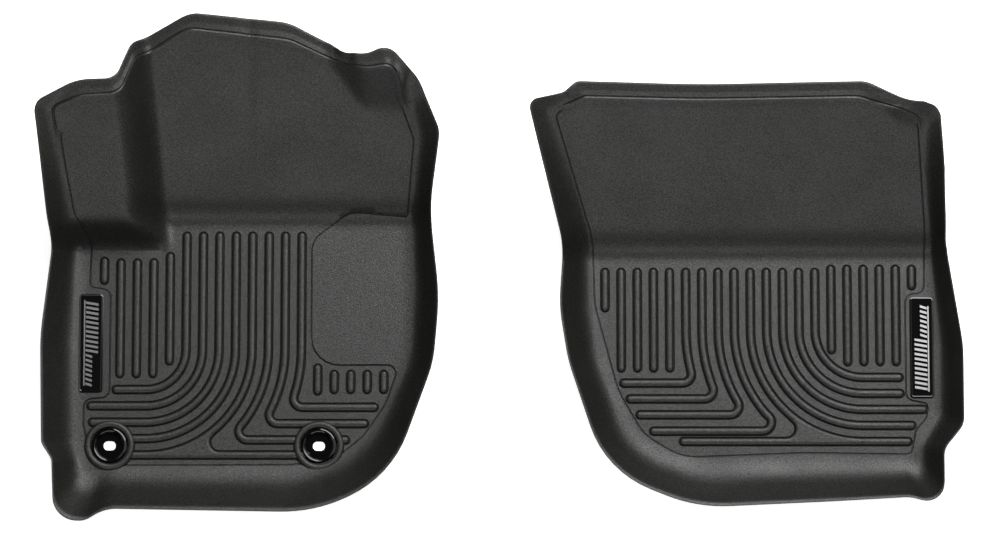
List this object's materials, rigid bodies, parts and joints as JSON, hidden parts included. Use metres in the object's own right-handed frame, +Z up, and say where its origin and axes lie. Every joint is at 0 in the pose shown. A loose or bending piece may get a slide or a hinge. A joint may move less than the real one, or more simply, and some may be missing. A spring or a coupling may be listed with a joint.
{
  "type": "floor mat set",
  "caption": "Pair of moulded front floor liners with raised walls, drainage ribs, a footrest, snap-in anchor grommets and edge badges.",
  "frame": {"origin": "on the carpet plane, in the middle of the footprint of the two liners laid side by side", "axes": "+X across the car from the driver's liner to the passenger's, +Y towards the toe boards, +Z up"},
  "size_m": [1.1471, 0.6163, 0.1596],
  "materials": {
    "liner": "fine pebble grain",
    "grommet": "satin",
    "badge_plate": "gloss",
    "badge_emblem": "bright foil"
  },
  "bodies": {
    "driver_liner": {"driver_liner": "liner", "driver_badge_plate": "badge_plate", "driver_badge_emblem": "badge_emblem", "left_grommet_cup": "grommet", "left_grommet_lock_ring": "grommet", "right_grommet_cup": "grommet", "right_grommet_lock_ring": "grommet"},
    "passenger_liner": {"passenger_liner": "liner", "passenger_badge_plate": "badge_plate", "passenger_badge_emblem": "badge_emblem"}
  },
  "joints": [
    {"name": "passenger_liner_lift", "type": "slide", "parent": "driver_liner", "child": "passenger_liner", "axis": [0, 0, 1], "range_m": [0, 0.25]}
  ]
}
